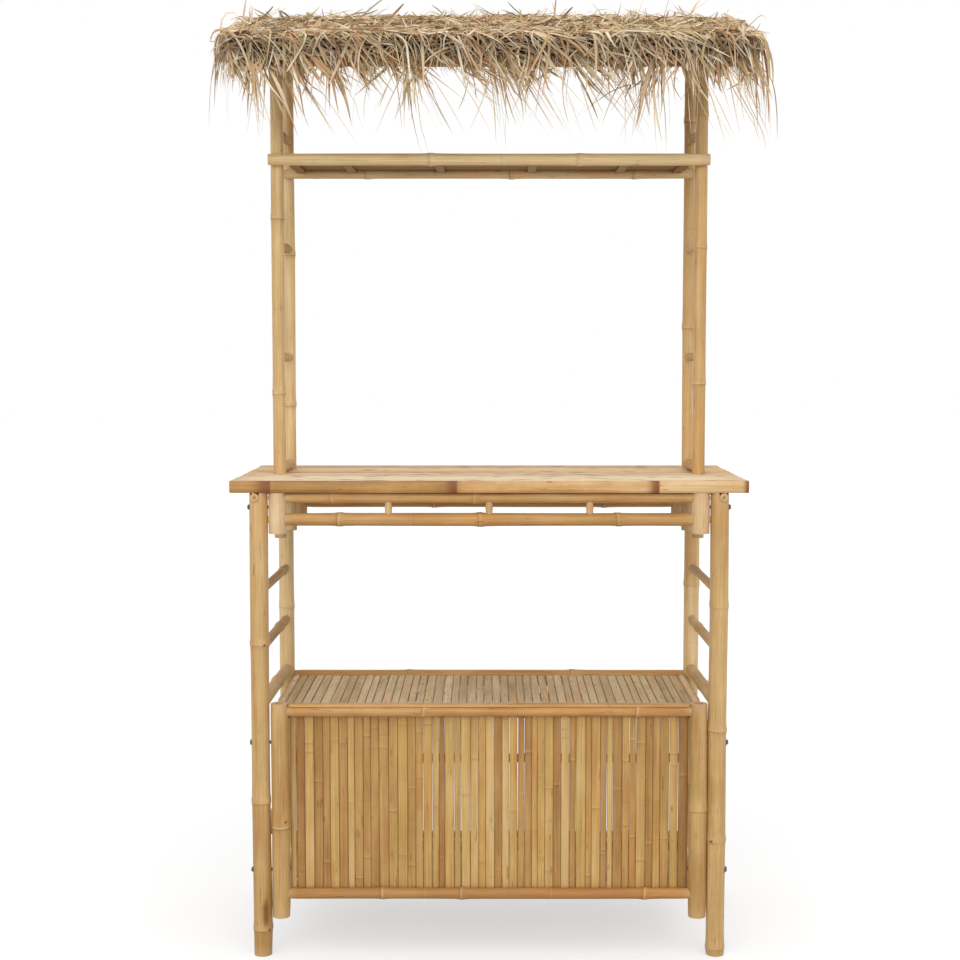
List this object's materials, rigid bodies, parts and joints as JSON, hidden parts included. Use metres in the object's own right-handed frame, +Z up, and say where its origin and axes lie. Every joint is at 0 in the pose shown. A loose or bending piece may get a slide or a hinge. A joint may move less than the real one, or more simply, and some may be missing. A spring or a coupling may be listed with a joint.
{
  "type": "thatched bamboo bar hut",
  "caption": "Bamboo bar hut: a slatted counter on ladder-sided legs with an open-backed cabinet below, and a lift-out canopy of posts that carries a rack and a sloped thatched roof.",
  "frame": {"origin": "on the floor under the middle of the counter, the bottom centre of the bounding box", "axes": "+Z up, +X to the right as seen by a customer in front of the bar, -Y towards that customer"},
  "size_m": [1.2466, 0.6002, 2.2879],
  "materials": {
    "bamboo_pole": "bamboo pole with a thin satin varnish, golden tan with darker node rings",
    "bamboo_pale": "peeled bamboo pole, pale cream with pinkish streaks",
    "bamboo_counter": "pale peach bamboo strips with small brown node marks",
    "bamboo_edge": "split bamboo, orange tan with dark brown nodes",
    "bamboo_strip": "split bamboo strips from yellow-green tan to orange brown, satin",
    "bamboo_grey": "weathered split bamboo, grey tan, matt",
    "thatch": "dry grass thatch, khaki to straw, matt",
    "bolt": "dark oxidised steel"
  },
  "bodies": {
    "bar": {"leg_front_left": "bamboo_pole", "leg_front_right": "bamboo_pole", "leg_rear_left": "bamboo_pole", "leg_rear_right": "bamboo_pole", "rung_left_1": "bamboo_pole", "rung_left_2": "bamboo_pole", "rung_left_3": "bamboo_pole", "rung_left_4": "bamboo_pole", "rung_left_top": "bamboo_pole", "rung_right_1": "bamboo_pole", "rung_right_2": "bamboo_pole", "rung_right_3": "bamboo_pole", "rung_right_4": "bamboo_pole", "rung_right_top": "bamboo_pole", "countertop": "bamboo_counter", "counter_edge_front": "bamboo_edge", "apron_post_front_left": "bamboo_pale", "apron_post_front_right": "bamboo_pale", "apron_post_rear_left": "bamboo_pale", "apron_post_rear_right": "bamboo_pale", "apron_rail_front_upper": "bamboo_pole", "apron_rail_front_lower": "bamboo_pole", "apron_rail_rear": "bamboo_pole", "apron_spindle_1": "bamboo_pole", "apron_spindle_2": "bamboo_pole", "apron_spindle_3": "bamboo_pole", "cabinet_post_left": "bamboo_pale", "cabinet_post_right": "bamboo_pale", "cabinet_rail_front_top": "bamboo_pole", "cabinet_rail_front_bottom": "bamboo_pole", "cabinet_rail_rear_top": "bamboo_pole", "cabinet_rail_rear_bottom": "bamboo_pole", "cabinet_top_slats": "bamboo_grey", "cabinet_front_panel": "bamboo_strip", "cabinet_floor_slats": "bamboo_grey", "bolt_apron_left": "bolt", "bolt_cabinet_left_lower": "bolt", "bolt_cabinet_left_upper": "bolt", "bolt_apron_right": "bolt", "bolt_cabinet_right_lower": "bolt", "bolt_cabinet_right_upper": "bolt"},
    "canopy": {"canopy_post_front_left": "bamboo_pole", "canopy_post_front_right": "bamboo_pole", "canopy_post_rear_left": "bamboo_pole", "canopy_post_rear_right": "bamboo_pole", "canopy_rung_left_foot": "bamboo_pole", "canopy_rung_left_1": "bamboo_pole", "canopy_rung_left_2": "bamboo_pole", "canopy_rung_left_3": "bamboo_pole", "canopy_rung_right_foot": "bamboo_pole", "canopy_rung_right_1": "bamboo_pole", "canopy_rung_right_2": "bamboo_pole", "canopy_rung_right_3": "bamboo_pole", "rack_rail_front": "bamboo_pole", "rack_rail_rear": "bamboo_pole", "rack_strips": "bamboo_strip", "roof_frame": "bamboo_pale", "thatch_mat": "thatch", "thatch_fringe_front": "thatch", "thatch_fringe_rear": "thatch"}
  },
  "joints": [
    {"name": "canopy_lift", "type": "slide", "parent": "bar", "child": "canopy", "axis": [0, 0, 1], "range_m": [0, 0.17]}
  ]
}
